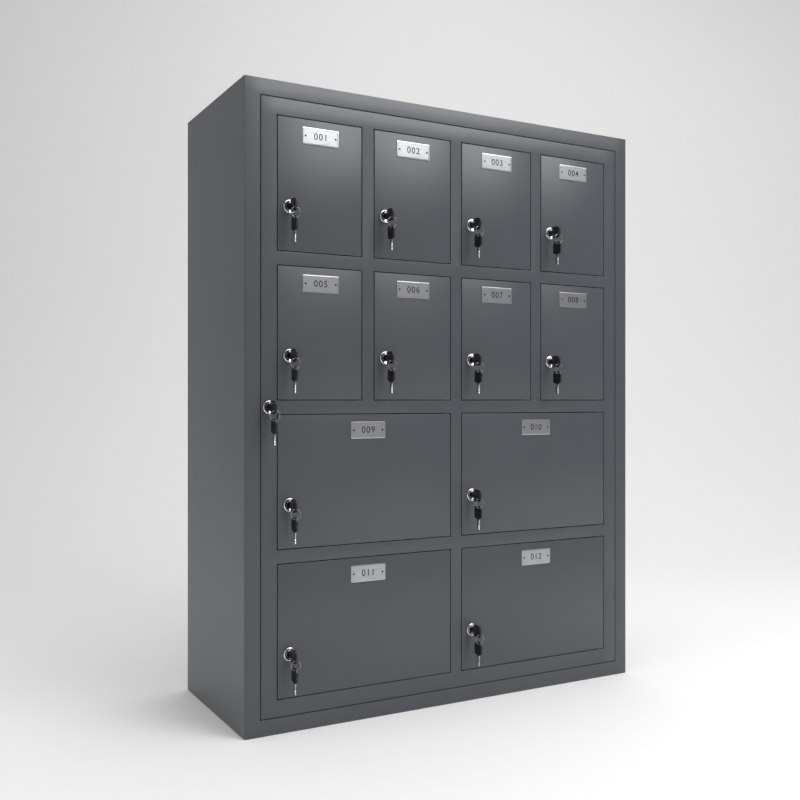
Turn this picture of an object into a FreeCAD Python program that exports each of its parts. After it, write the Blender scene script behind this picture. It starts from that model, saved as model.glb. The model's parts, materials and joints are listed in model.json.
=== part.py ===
import FreeCAD, Part
import os
import re
import Sketcher
from FreeCAD import Placement, Rotation, Vector

# Parcel locker: a folded sheet cabinet with one tall service door. Twelve small compartment doors hang
# in that service door, and each door has a cam lock with a key in it and a spare key on a ring.
# Frame: +Z up, the doors face -Y, origin at the middle of the footprint on the floor. Millimetres.

SIZES = {
    # name: (value, what it is)
    "wide": (900, "cabinet, side to side"),
    "deep": (350, "cabinet, front to back"),
    "tall": (1200, "cabinet, floor to top"),
    "skin": (1.2, "cabinet sheet"),
    "surround_face": (30, "fixed front border, visible width"),
    "surround_lip": (18, "fixed front border, fold towards the back"),
    "service_gap": (1.5, "service door to border"),
    "stile_face": (31, "service door, outer members"),
    "mullion_face": (25, "service door, inner members"),
    "frame_sheet": (1.5, "service door sheet"),
    "frame_deep": (20, "service door members, front to back"),
    "service_axis_in": (12, "service door pivot, from the door's edge"),
    "service_pin": (3, "service door pivot pin, radius"),
    "pin_tail": (6, "pivot pins, length past each sheet"),
    "pin_play": (0.05, "pivot pins, radial play"),
    "pin_room": (0.5, "pivot pins, behind the thicker front sheet"),
    "door_gap": (1.6, "small door to its opening"),
    "door_sheet": (1.2, "small door sheet"),
    "door_deep": (14, "small door, front to back"),
    "door_bend": (0.8, "small door, folded edge radius"),
    "door_axis_in": (9, "small door pivot, from the door's edge"),
    "door_pin": (2, "small door pivot pin, radius"),
    "stiffener_wide": (40, "stiffening channel inside a door"),
    "stiffener_sheet": (1, "stiffening channel sheet"),
    "stiffener_deep": (10, "stiffening channel, front to back"),
    "label_wide": (74.5, "number plate, width"),
    "label_tall": (32.4, "number plate, height"),
    "label_thick": (1, "number plate sheet"),
    "label_down": (14, "number plate, below the door's top edge"),
    "label_corner": (1.5, "number plate, corner radius"),
    "rivet_in": (6.5, "rivets, from the plate's ends"),
    "rivet_shank": (1.2, "rivet shank radius"),
    "rivet_head": (1.9, "rivet head radius"),
    "rivet_proud": (0.6, "rivet head height"),
    "rivet_tail": (1.5, "rivet behind the door sheet"),
    "lock_in": (22.7, "small lock, from the door's free edge"),
    "lock_up": (81, "small lock, above the door's bottom edge"),
    "bezel": (13, "lock bezel radius"),
    "bezel_proud": (5, "lock bezel, in front of the door"),
    "bezel_bevel": (1.2, "lock bezel, front bevel"),
    "barrel": (9.5, "lock barrel radius"),
    "barrel_play": (0.1, "lock barrel in its hole, radial"),
    "plug_radius": (6.5, "turning plug radius"),
    "plug_play": (0.05, "turning plug, radial play"),
    "plug_recess": (1, "plug face behind the bezel front"),
    "nut_wall": (1.75, "lock nut, from its thread to its flats"),
    "nut_thick": (4, "lock nut"),
    "cam_clear": (1, "cam behind the members and the border"),
    "cam_play": (0.3, "cam behind the lock barrel"),
    "cam_thick": (2, "cam plate"),
    "cam_half": (6.5, "cam plate, half its width"),
    "cam_reach": (34, "cam, from the lock's axis to its tip"),
    "cam_taper": (3.5, "cam, corners cut off at the tip"),
    "tail_radius": (4, "plug tail through the cam"),
    "screw_radius": (5, "cam screw head radius"),
    "screw_head": (3, "cam screw head height"),
    "blade_thick": (2.2, "key blade thickness"),
    "blade_half": (4, "key blade, half its height"),
    "blade_in": (14, "key blade tip, behind the door's face"),
    "blade_bite": (1.4, "key blade, depth of its cuts"),
    "blade_step": (2.2, "key blade, half the pitch of its cuts"),
    "blade_root": (6, "key blade, length inside the bow"),
    "keyway_play": (0.1, "keyway, each side of the blade"),
    "keyway_end": (1, "keyway, past the blade's tip"),
    "bow_start": (10, "key bow, in front of the door's face"),
    "bow_long": (25, "key bow length"),
    "bow_half": (12, "key bow, half its width"),
    "bow_thick": (3.5, "key bow thickness"),
    "shoulder_long": (6, "key bow, sloped shoulders along the key"),
    "shoulder_in": (4.5, "key bow, sloped shoulders across the key"),
    "bow_soft": (1.5, "key bow, inner corners"),
    "bow_strip": (4, "key bow, material beside the slot's ends, where the ring is"),
    "bow_bar": (2.5, "key bow, material outside the slot"),
    "slot_wide": (3, "key bow slot, across"),
    "ring_radius": (9.25, "key ring, to the wire's centre"),
    "ring_wire": (0.75, "key ring wire radius"),
    "ring_clear": (0.3, "key ring around the bow's strip"),
    "spare_shift": (5, "spare key along its slot, towards the door"),
    "inner_clear": (4, "shelves and dividers behind the cam screws"),
    "shelf_fold": (11, "shelf, front fold"),
    "hem": (12, "divider, front hem"),
    "anchor_radius": (5, "wall fixing holes"),
    "anchor_wide": (700, "wall fixing holes, side to side"),
    "anchor_tall": (900, "wall fixing holes, up and down"),
}

# Sizes that follow from the ones above. Each is an expression on the sheet.
DERIVED = {
    "grid_in": "surround_face+service_gap+stile_face-mullion_face/2",
    "cell_wide": "(wide-2*grid_in)/4",
    "cell_tall": "(tall-2*grid_in)/4",
    "door_inset": "mullion_face/2+door_gap",
    "leaf_tall": "cell_tall-2*door_inset",
    "narrow_leaf": "cell_wide-2*door_inset",
    "wide_leaf": "2*cell_wide-2*door_inset",
    "frame_in": "surround_face+service_gap",
    "service_axis_back": "max(frame_sheet;skin)+service_pin+pin_room",
    "door_axis_back": "max(frame_sheet;door_sheet)+door_pin+pin_room",
    "nut_corner": "(barrel+nut_wall)*2/sqrt(3)",
    "cam_front": "max(frame_deep;surround_lip)+cam_clear",
    "inner_front": "cam_front+cam_thick+screw_head+inner_clear",
    "ring_from_end": "bow_bar+slot_wide/2+ring_wire",
    "slot_half": "bow_half-shoulder_in*(1-ring_from_end/shoulder_long)-bow_strip",
    "strip_centre": "slot_half+bow_strip/2",
    "slot_centre": "bow_start+bow_long-bow_bar-slot_wide/2",
    "ring_drop": "strip_centre-sqrt((bow_strip/2)^2+(bow_thick/2)^2)-ring_clear"
                 "+ring_radius-ring_wire",
    "spare_drop": "ring_drop+sqrt((ring_radius-ring_wire)^2-(bow_thick/2)^2)"
                  "+bow_start+bow_long-bow_bar",
}

COLUMNS = 4
ROWS = 4
# Door number: (column, row from the floor, columns covered).
DOORS = {}
for column in range(COLUMNS):
    DOORS[column + 1] = (column, 3, 1)
    DOORS[column + 5] = (column, 2, 1)
for half in range(2):
    DOORS[half + 9] = (2 * half, 1, 2)
    DOORS[half + 11] = (2 * half, 0, 2)

doc = FreeCAD.newDocument("parcel_locker")
sheet = doc.addObject("Spreadsheet::Sheet", "Sizes")
parts = []


def fill_sheet():
    """Write every driving size and every derived size into the spreadsheet."""
    row = 1
    for name, (value, note) in SIZES.items():
        sheet.set(f"A{row}", note)
        sheet.set(f"B{row}", str(value))
        sheet.setAlias(f"B{row}", name)
        row += 1
    for name, rule in DERIVED.items():
        sheet.set(f"A{row}", "derived")
        sheet.set(f"B{row}", "=" + rule)
        sheet.setAlias(f"B{row}", name)
        row += 1
    doc.recompute()


def on_sheet(rule):
    """Turn a rule with plain size names into an expression that reads the spreadsheet."""
    names = set(SIZES) | set(DERIVED)
    return re.sub(r"[A-Za-z_]+", lambda m: "Sizes." + m[0] if m[0] in names else m[0], rule)


def value_of(rule):
    """Return the present value of a rule."""
    return float(sheet.evalExpression(on_sheet(rule)))


def bind(thing, **rules):
    """Bind properties of an object to rules on the sheet. A double underscore stands for a dot."""
    for name, rule in rules.items():
        thing.setExpression(name.replace("__", "."), on_sheet(rule))
    return thing


def place(thing, x="0", y="0", z="0"):
    """Bind an object's position to rules on the sheet."""
    return bind(thing, Placement__Base__x=x, Placement__Base__y=y, Placement__Base__z=z)


def box(name, size, at):
    """Make a Part::Box with its three sizes and its low corner bound to rules."""
    block = doc.addObject("Part::Box", name)
    bind(block, Length=size[0], Width=size[1], Height=size[2])
    return place(block, *at)


def rod(name, radius, length, at, axis="Z"):
    """Make a Part::Cylinder along +Z or +Y that starts at a point."""
    bar = doc.addObject("Part::Cylinder", name)
    bind(bar, Radius=radius, Height=length)
    if axis == "Y":
        bar.Placement = Placement(Vector(), Rotation(Vector(1, 0, 0), -90))
    return place(bar, *at)


def cut(name, base, tools):
    """Cut one or more tools out of a base."""
    tool = tools[0]
    if len(tools) > 1:
        tool = doc.addObject("Part::MultiFuse", name + "_tools")
        tool.Shapes = tools
    result = doc.addObject("Part::Cut", name)
    result.Base = base
    result.Tool = tool
    return result


def fuse(name, first, second):
    """Join two shapes of one sheet into a single solid."""
    result = doc.addObject("Part::Fuse", name)
    result.Base = first
    result.Tool = second
    return result


def group(name, links, x="0", y="0", z="0"):
    """Collect separate solids under one placement."""
    result = doc.addObject("Part::Compound", name)
    result.Links = links
    return place(result, x, y, z)


def part(thing, name):
    """Register a finished sub-part under its own label."""
    thing.Label = name
    parts.append(thing)
    return thing


def origin_plane(body, role):
    """Return a body's own origin plane by its role."""
    return [item for item in body.Origin.OriginFeatures if item.Role == role][0]


def new_sketch(body, name, role, offset=None):
    """Attach an empty sketch to an origin plane of its body."""
    sketch = body.newObject("Sketcher::SketchObject", name)
    sketch.AttachmentSupport = (origin_plane(body, role), [""])
    sketch.MapMode = "FlatFace"
    if offset:
        bind(sketch, AttachmentOffset__Base__z=offset)
    return sketch


def pin_point(sketch, geometry, point, rules):
    """Hold a point of a sketch at two rules measured from the sketch's origin."""
    for kind, rule, axis in zip(("DistanceX", "DistanceY"), rules, (-2, -1)):
        if rule == "0":
            sketch.addConstraint(Sketcher.Constraint("PointOnObject", geometry, point, axis))
            continue
        given = Sketcher.Constraint(kind, -1, 1, geometry, point, value_of(rule))
        number = sketch.addConstraint(given)
        label = f"{kind}_{geometry}"
        sketch.renameConstraint(number, label)
        sketch.setExpression(f"Constraints.{label}", on_sheet(rule))


def outline(body, name, role, corners, offset=None):
    """Draw a closed polygon whose corners are rules on the sheet."""
    sketch = new_sketch(body, name, role, offset)
    points = [Vector(value_of(a), value_of(b), 0) for a, b in corners]
    count = len(points)
    for index in range(count):
        sketch.addGeometry(Part.LineSegment(points[index], points[(index + 1) % count]))
    for index in range(count):
        following = (index + 1) % count
        sketch.addConstraint(Sketcher.Constraint("Coincident", index, 2, following, 1))
    for index, rules in enumerate(corners):
        pin_point(sketch, index, 1, rules)
    return sketch


def circles(body, name, role, centres, radius, offset=None):
    """Draw equal circles whose centres and radius are rules on the sheet."""
    sketch = new_sketch(body, name, role, offset)
    for index, (a, b) in enumerate(centres):
        centre = Vector(value_of(a), value_of(b), 0)
        sketch.addGeometry(Part.Circle(centre, Vector(0, 0, 1), value_of(radius)))
        pin_point(sketch, index, 3, (a, b))
        number = sketch.addConstraint(Sketcher.Constraint("Radius", index, value_of(radius)))
        label = f"radius_{index}"
        sketch.renameConstraint(number, label)
        sketch.setExpression(f"Constraints.{label}", on_sheet(radius))
    return sketch


def pad(body, sketch, length, backwards=False, middle=False):
    """Pad a sketch; backwards goes against the sketch's normal."""
    feature = body.newObject("PartDesign::Pad", sketch.Name + "_pad")
    feature.Profile = sketch
    feature.Reversed = backwards
    feature.Midplane = middle
    bind(feature, Length=length)
    return feature


def pocket(body, sketch, length=None, middle=False):
    """Cut a sketch through the solid, or to a depth against the sketch's normal."""
    before = body.Shape.Volume if body.Shape else 0
    feature = body.newObject("PartDesign::Pocket", sketch.Name + "_pocket")
    feature.Profile = sketch
    feature.Midplane = middle
    feature.Type = "Length" if length else "ThroughAll"
    if length:
        bind(feature, Length=length)
    doc.recompute()
    if before and body.Shape.Volume >= before:
        raise ValueError(f"{body.Label}: {sketch.Name} cuts nothing")
    return feature


def revolve(body, sketch):
    """Turn a sketch in the YZ plane once around the Y axis."""
    feature = body.newObject("PartDesign::Revolution", sketch.Name + "_turned")
    feature.Profile = sketch
    feature.ReferenceAxis = (sketch, ["H_Axis"])
    feature.Angle = 360
    return feature


def soften(body, name, radius, chosen):
    """Round the edges of a body's tip that a test picks."""
    doc.recompute()
    tip = body.Tip
    edges = [f"Edge{i + 1}" for i, edge in enumerate(tip.Shape.Edges) if chosen(edge)]
    if not edges:
        raise ValueError(f"{body.Label}: {name} finds no edge")
    feature = body.newObject("PartDesign::Fillet", name)
    feature.Base = (tip, edges)
    bind(feature, Radius=radius)
    return feature


def front_edge(edge):
    """Say whether an edge lies in the face plane and runs along it."""
    bounds = edge.BoundBox
    return abs(bounds.YMin) < 1e-6 and abs(bounds.YMax) < 1e-6 and len(edge.Vertexes) == 2


def along_y(edge):
    """Say whether a straight edge runs front to back."""
    bounds = edge.BoundBox
    return bounds.XLength < 1e-6 and bounds.ZLength < 1e-6


# ---------------------------------------------------------------- cabinet


def side_panels():
    """Make the two flat side panels."""
    size = ("skin", "deep-skin", "tall")
    part(box("left_side", size, ("-wide/2", "skin-deep/2", "0")), "left_side_panel")
    part(box("right_side", size, ("wide/2-skin", "skin-deep/2", "0")), "right_side_panel")


def top_and_base():
    """Make the top and base panels between the sides."""
    size = ("wide-2*skin", "deep-2*skin", "skin")
    part(box("top", size, ("skin-wide/2", "skin-deep/2", "tall-skin")), "top_panel")
    part(box("base", size, ("skin-wide/2", "skin-deep/2", "0")), "base_panel")


def back_panel():
    """Make the back panel with its four wall fixing holes."""
    body = doc.addObject("PartDesign::Body", "back")
    side = "wide/2-skin"
    corners = [("-(" + side + ")", "0"), (side, "0"), (side, "tall"), ("-(" + side + ")", "tall")]
    pad(body, outline(body, "back_outline", "XZ_Plane", corners), "skin")
    centres = []
    for across in ("-anchor_wide/2", "anchor_wide/2"):
        for up in ("tall/2-anchor_tall/2", "tall/2+anchor_tall/2"):
            centres.append((across, up))
    holes = circles(body, "anchor_holes", "XZ_Plane", centres, "anchor_radius")
    doc.recompute()
    pocket(body, holes, middle=True)
    place(body, y="deep/2")
    part(body, "back_panel")


def surround():
    """Make the fixed front border and the service door's two pivot pins."""
    members = []
    for name, face_x, lip_x in (
        ("left", "-wide/2", "surround_face-skin-wide/2"),
        ("right", "wide/2-surround_face", "wide/2-surround_face"),
    ):
        face = box(f"{name}_face", ("surround_face", "skin", "tall"), (face_x, "-deep/2", "0"))
        lip_size = ("skin", "surround_lip-skin", "tall-2*skin")
        lip = box(f"{name}_lip", lip_size, (lip_x, "skin-deep/2", "skin"))
        members.append(fuse(f"{name}_border", face, lip))
    span = "wide-2*surround_face"
    axis = ("wide/2-frame_in-service_axis_in", "service_axis_back-deep/2")
    length = "2*pin_tail+skin+service_gap+frame_sheet"
    for name, face_z, lip_z, pin_z in (
        ("bottom", "0", "surround_face-skin", "surround_face-skin-pin_tail"),
        ("top", "tall-surround_face", "tall-surround_face",
         "tall-frame_in-frame_sheet-pin_tail"),
    ):
        corner = "surround_face-wide/2"
        face = box(f"{name}_face", (span, "skin", "surround_face"), (corner, "-deep/2", face_z))
        lip = box(f"{name}_lip", (span, "surround_lip-skin", "skin"),
                  (corner, "skin-deep/2", lip_z))
        border = fuse(f"{name}_border_solid", face, lip)
        pin = rod(f"{name}_pivot", "service_pin", length, (axis[0], axis[1], pin_z))
        members.append(cut(f"{name}_border", border, [pin]))
        members.append(pin)
    part(group("surround", members), "front_surround")


def shelves():
    """Make the three shelves, each one folded sheet with its front edge turned down."""
    body = doc.addObject("PartDesign::Body", "shelf_sheet")
    front = "inner_front-deep/2"
    rear = "deep/2-skin"
    corners = [
        (front, "-shelf_fold"),
        (front + "+skin", "-shelf_fold"),
        (front + "+skin", "0"),
        (rear, "0"),
        (rear, "skin"),
        (front, "skin"),
    ]
    pad(body, outline(body, "shelf_section", "YZ_Plane", corners), "wide-2*skin", middle=True)
    levels = []
    for level in range(1, ROWS):
        levels.append(group(f"shelf_{level}", [body], z=f"grid_in+{level}*cell_tall"))
    part(group("shelf_set", levels), "shelves")


def dividers():
    """Make the upright dividers between the compartments, each with a hemmed front edge."""
    made = []
    front = "inner_front+skin-deep/2"
    for row in range(ROWS):
        middles = (1, 2, 3) if row > 1 else (2,)
        low = f"grid_in+{row}*cell_tall+skin" if row else "skin"
        high = f"grid_in+{row + 1}*cell_tall" if row < ROWS - 1 else "tall-skin"
        height = f"({high})-({low})"
        for column in middles:
            name = f"divider_{row}_{column}"
            left = f"grid_in+{column}*cell_wide-wide/2-skin/2"
            plate = box(name + "_plate", ("skin", f"deep/2-skin-({front})", height),
                        (left, front, low))
            hem = box(name + "_hem", ("skin", "hem", height), (left + "+skin", front, low))
            made.append(fuse(name, plate, hem))
    part(group("divider_set", made), "dividers")


# ---------------------------------------------------------------- service door


def channel(name, size, at, tools=()):
    """Make a frame member: a box section open at the back, with closed ends."""
    outer = box(name + "_outer", (size[0], "frame_deep", size[1]), (at[0], "-deep/2", at[1]))
    inner_size = (size[0] + "-2*frame_sheet", "frame_deep", size[1] + "-2*frame_sheet")
    inner_at = (at[0] + "+frame_sheet", "frame_sheet-deep/2", at[1] + "+frame_sheet")
    inner = box(name + "_inner", inner_size, inner_at)
    return cut(name, outer, [inner] + list(tools))


def rail_levels():
    """Return the low edge and height of each cross member, from the floor up."""
    levels = [("frame_in", "stile_face")]
    for level in range(1, ROWS):
        levels.append((f"grid_in+{level}*cell_tall-mullion_face/2", "mullion_face"))
    levels.append(("tall-frame_in-stile_face", "stile_face"))
    return levels


def hinge_x(column, covered):
    """Return the rule for a small door's pivot axis."""
    return f"grid_in+{column + covered}*cell_wide-door_inset-door_axis_in-wide/2"


def pivot_holes(level):
    """Make the drills for the small doors' pins in one cross member."""
    low, height = rail_levels()[level]
    drills = []
    for number, (column, row, covered) in DOORS.items():
        spots = []
        if row == level:
            spots.append(("under", f"({low})+({height})-1.5*frame_sheet"))
        if row + 1 == level:
            spots.append(("over", f"({low})-frame_sheet/2"))
        for side, z in spots:
            at = (hinge_x(column, covered), "door_axis_back-deep/2", z)
            name = f"drill_{side}_{number:02d}"
            drills.append(rod(name, "door_pin+pin_play", "2*frame_sheet", at))
    return drills


def service_frame():
    """Make the service door: two stiles, five rails and eight mullions."""
    members = []
    height = "(tall-2*frame_in)"
    lock_hole = rod("service_lock_hole", "barrel+barrel_play", "3*frame_sheet",
                    ("frame_in+stile_face/2-wide/2", "-frame_sheet-deep/2", "tall/2"), "Y")
    left = ("frame_in-wide/2", "frame_in")
    members.append(channel("left_stile", ("stile_face", height), left, [lock_hole]))
    ends = []
    for name, z in (("low", "frame_in-frame_sheet/2"),
                    ("high", "tall-frame_in-1.5*frame_sheet")):
        at = ("wide/2-frame_in-service_axis_in", "service_axis_back-deep/2", z)
        ends.append(rod(f"service_{name}_drill", "service_pin+pin_play", "2*frame_sheet", at))
    right = ("wide/2-frame_in-stile_face", "frame_in")
    members.append(channel("right_stile", ("stile_face", height), right, ends))
    span = "(wide-2*frame_in-2*stile_face)"
    start = "frame_in+stile_face-wide/2"
    for level, (low, tall) in enumerate(rail_levels()):
        members.append(channel(f"rail_{level}", (span, tall), (start, low), pivot_holes(level)))
    for row in range(ROWS):
        low = f"grid_in+{row}*cell_tall+mullion_face/2"
        for column in (1, 2, 3) if row > 1 else (2,):
            at = (f"grid_in+{column}*cell_wide-mullion_face/2-wide/2", low)
            size = ("mullion_face", "(cell_tall-mullion_face)")
            members.append(channel(f"mullion_{row}_{column}", size, at))
    part(group("service_door", members), "master_frame")


# ---------------------------------------------------------------- small doors


def leaf(kind, width):
    """Make a small door's folded pan with its holes, low front corner at the origin."""
    body = doc.addObject("PartDesign::Body", f"{kind}_leaf_body")
    corners = [("0", "0"), (width, "0"), (width, "leaf_tall"), ("0", "leaf_tall")]
    pad(body, outline(body, f"{kind}_face", "XZ_Plane", corners), "door_deep", backwards=True)
    doc.recompute()
    low, side, top = "door_sheet", width + "-door_sheet", "leaf_tall-door_sheet"
    inside = [(low, low), (side, low), (side, top), (low, top)]
    pocket(body, outline(body, f"{kind}_inside", "XZ_Plane", inside, "-door_sheet"))
    soften(body, f"{kind}_bends", "door_bend", front_edge)
    doc.recompute()
    hole = circles(body, f"{kind}_lock_hole", "XZ_Plane", [("lock_in", "lock_up")],
                   "barrel+barrel_play")
    pocket(body, hole, middle=True)
    pocket(body, circles(body, f"{kind}_rivet_holes", "XZ_Plane", rivet_spots(width),
                         "rivet_shank"), middle=True)
    spot = (width + "-door_axis_in", "door_axis_back")
    pins = circles(body, f"{kind}_pin_holes", "XY_Plane", [spot], "door_pin", "leaf_tall/2")
    cut_pins = pocket(body, pins, middle=True)
    cut_pins.Label = f"{kind}_pin_holes_through"
    return body


def rivet_spots(width):
    """Return the two rivet centres of a number plate on a door of a given width."""
    up = "leaf_tall-label_down-label_tall/2"
    reach = "(label_wide/2-rivet_in)"
    return [(f"{width}/2-{reach}", up), (f"{width}/2+{reach}", up)]


def stiffener(kind, width):
    """Make the channel that stiffens a door leaf from inside."""
    height = "(leaf_tall-2*door_sheet)"
    left = f"{width}/2-stiffener_wide/2"
    outer = box(f"{kind}_rib_outer", ("stiffener_wide", "stiffener_deep", height),
                (left, "door_sheet", "door_sheet"))
    inner = box(f"{kind}_rib_inner",
                ("stiffener_wide-2*stiffener_sheet", "stiffener_deep", height),
                (left + "+stiffener_sheet", "door_sheet-stiffener_sheet", "door_sheet"))
    return cut(f"{kind}_rib", outer, [inner])


def door_pins(kind, width):
    """Make a door's two pivot pins, which reach through the rails' sheet."""
    length = "2*pin_tail+door_sheet+door_gap+frame_sheet"
    reach = "(door_gap+frame_sheet+pin_tail)"
    made = []
    for name, z in (("low", "-" + reach), ("high", "leaf_tall-door_sheet-pin_tail")):
        at = (width + "-door_axis_in", "door_axis_back", z)
        made.append(rod(f"{kind}_{name}_pin", "door_pin", length, at))
    return made


def number_plate(kind, width):
    """Make a number plate, riveted flat on the door's face."""
    body = doc.addObject("PartDesign::Body", f"{kind}_plate")
    left, right = f"{width}/2-label_wide/2", f"{width}/2+label_wide/2"
    low, high = "leaf_tall-label_down-label_tall", "leaf_tall-label_down"
    corners = [(left, low), (right, low), (right, high), (left, high)]
    pad(body, outline(body, f"{kind}_plate_outline", "XZ_Plane", corners), "label_thick")
    soften(body, f"{kind}_plate_corners", "label_corner", along_y)
    doc.recompute()
    holes = circles(body, f"{kind}_plate_holes", "XZ_Plane", rivet_spots(width), "rivet_shank")
    pocket(body, holes, middle=True)
    return body


def rivet():
    """Make a rivet with its head in front of a number plate and its tail behind the door."""
    body = doc.addObject("PartDesign::Body", "rivet")
    head, face = "-label_thick-rivet_proud", "-label_thick"
    back, end = "door_sheet", "door_sheet+rivet_tail"
    tail = "(rivet_shank+rivet_head)/2"
    corners = [(head, "0"), (head, "rivet_shank"), (face, "rivet_head"), (face, "rivet_shank"),
               (back, "rivet_shank"), (back, tail), (end, tail), (end, "0")]
    revolve(body, outline(body, "rivet_profile", "YZ_Plane", corners))
    return body


def rivet_pair(kind, width, pattern):
    """Place two rivets in a number plate."""
    spots = rivet_spots(width)
    return [group(f"{kind}_rivet_{i}", [pattern], x=x, z=z) for i, (x, z) in enumerate(spots)]


def door_solids(kind, width, rivet_body):
    """Make every solid of one kind of small door."""
    solids = [leaf(kind, width), stiffener(kind, width)]
    solids += door_pins(kind, width)
    solids.append(number_plate(kind, width))
    return solids + rivet_pair(kind, width, rivet_body)


# ---------------------------------------------------------------- lock and key


def lock_housing():
    """Make the lock's fixed housing: a bevelled bezel in front and a barrel behind."""
    body = doc.addObject("PartDesign::Body", "housing")
    inner = "plug_radius+plug_play"
    front, end = "-bezel_proud", "cam_front-cam_play"
    corners = [(front, inner), (front, "bezel-bezel_bevel"), (front + "+bezel_bevel", "bezel"),
               ("0", "bezel"), ("0", "barrel"), (end, "barrel"), (end, inner)]
    revolve(body, outline(body, "housing_profile", "YZ_Plane", corners))
    return body


def lock_nut(name, sheet_name):
    """Make the hexagon nut that clamps a lock to its sheet."""
    hexagon = doc.addObject("Part::Prism", name + "_hexagon")
    hexagon.Polygon = 6
    flats_aside = Rotation(Vector(0, 0, 1), 30)
    hexagon.Placement = Placement(Vector(), Rotation(Vector(1, 0, 0), -90) * flats_aside)
    bind(hexagon, Circumradius="nut_corner", Height="nut_thick", Placement__Base__y=sheet_name)
    thread = rod(name + "_thread", "barrel", "2*nut_thick", ("0", sheet_name + "-nut_thick/2", "0"),
                 "Y")
    return cut(name, hexagon, [thread])


def plug_core():
    """Make the turning plug with its keyway and the tail that carries the cam."""
    body = doc.addObject("PartDesign::Body", "plug_core")
    face, shoulder = "plug_recess-bezel_proud", "cam_front"
    corners = [(face, "0"), (face, "plug_radius"), (shoulder, "plug_radius"),
               (shoulder, "tail_radius"), (shoulder + "+cam_thick", "tail_radius"),
               (shoulder + "+cam_thick", "0")]
    revolve(body, outline(body, "plug_profile", "YZ_Plane", corners))
    doc.recompute()
    half = "blade_thick/2+keyway_play"
    slot = [("-(" + half + ")", "-blade_half"), (half, "-blade_half"), (half, "blade_half"),
            ("-(" + half + ")", "blade_half")]
    keyway = outline(body, "keyway", "XZ_Plane", slot, "bezel_proud-plug_recess")
    pocket(body, keyway, "bezel_proud-plug_recess+blade_in+keyway_end")
    return body


def cam():
    """Make the cam: a flat bar that points down from the plug's tail when unlocked."""
    body = doc.addObject("PartDesign::Body", "cam_plate")
    shoulder, tip = "cam_taper-cam_reach", "-cam_reach"
    corners = [("-cam_half", "cam_half"), ("-cam_half", shoulder),
               ("cam_taper-cam_half", tip), ("cam_half-cam_taper", tip),
               ("cam_half", shoulder), ("cam_half", "cam_half")]
    plate = outline(body, "cam_outline", "XZ_Plane", corners, "-cam_front")
    pad(body, plate, "cam_thick", backwards=True)
    doc.recompute()
    pocket(body, circles(body, "cam_hole", "XZ_Plane", [("0", "0")], "tail_radius", "-cam_front"))
    return body


def key_blade():
    """Make the key's metal blade with its row of cuts along the lower edge."""
    body = doc.addObject("PartDesign::Body", "key_blade")
    root, tip = "-bow_start-blade_root", "blade_in"
    corners = [(root, "blade_half"), (tip + "-blade_bite", "blade_half"),
               (tip, "blade_half-blade_bite"), (tip, "blade_bite-blade_half")]
    for notch in range(6):
        height = "-blade_half" if notch % 2 == 0 else "blade_bite-blade_half"
        corners.append((f"{tip}-{notch + 1}*blade_step", height))
    corners.append((f"{tip}-7*blade_step", "-blade_half"))
    corners.append((root, "-blade_half"))
    pad(body, outline(body, "blade_outline", "YZ_Plane", corners), "blade_thick", middle=True)
    return body


def key_bow():
    """Make the key's moulded bow with the slot that the ring passes through."""
    body = doc.addObject("PartDesign::Body", "key_bow")
    near, far = "-bow_start", "-bow_start-bow_long"
    corners = [(near, "bow_soft-bow_half"), (near, "bow_half-bow_soft"),
               (near + "-bow_soft", "bow_half"), (far + "+shoulder_long", "bow_half"),
               (far, "bow_half-shoulder_in"), (far, "shoulder_in-bow_half"),
               (far + "+shoulder_long", "-bow_half"), (near + "-bow_soft", "-bow_half")]
    pad(body, outline(body, "bow_outline", "YZ_Plane", corners), "bow_thick", middle=True)
    doc.recompute()
    outer, inner = "-slot_centre-slot_wide/2", "-slot_centre+slot_wide/2"
    slot = [(outer, "-slot_half"), (inner, "-slot_half"), (inner, "slot_half"),
            (outer, "slot_half")]
    pocket(body, outline(body, "ring_slot", "YZ_Plane", slot), middle=True)
    half = "blade_thick/2"
    socket = [("-" + half, "-blade_half"), (half, "-blade_half"), (half, "blade_half"),
              ("-" + half, "blade_half")]
    seat = outline(body, "blade_seat", "XZ_Plane", socket, "bow_start+blade_root")
    pocket(body, seat, "blade_root")
    return body


def cam_screw():
    """Make the screw head that holds the cam on the plug's tail."""
    return rod("cam_screw", "screw_radius", "screw_head", ("0", "cam_front+cam_thick", "0"), "Y")


def split_ring():
    """Make the key ring, which hangs from the bow's strip parallel to the door."""
    ring = doc.addObject("Part::Torus", "split_ring")
    ring.Placement = Placement(Vector(), Rotation(Vector(1, 0, 0), 90))
    bind(ring, Radius1="ring_radius", Radius2="ring_wire")
    return place(ring, y="-slot_centre", z="-ring_drop")


def spare_key(blade, bow):
    """Hang a second key from the ring with its blade down."""
    spare = doc.addObject("Part::Compound", "spare_key")
    spare.Links = [blade, bow]
    spare.Placement = Placement(Vector(), Rotation(Vector(1, 0, 0), -90))
    return place(spare, y="spare_shift-slot_centre", z="-spare_drop")


# ---------------------------------------------------------------- assembly


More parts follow.
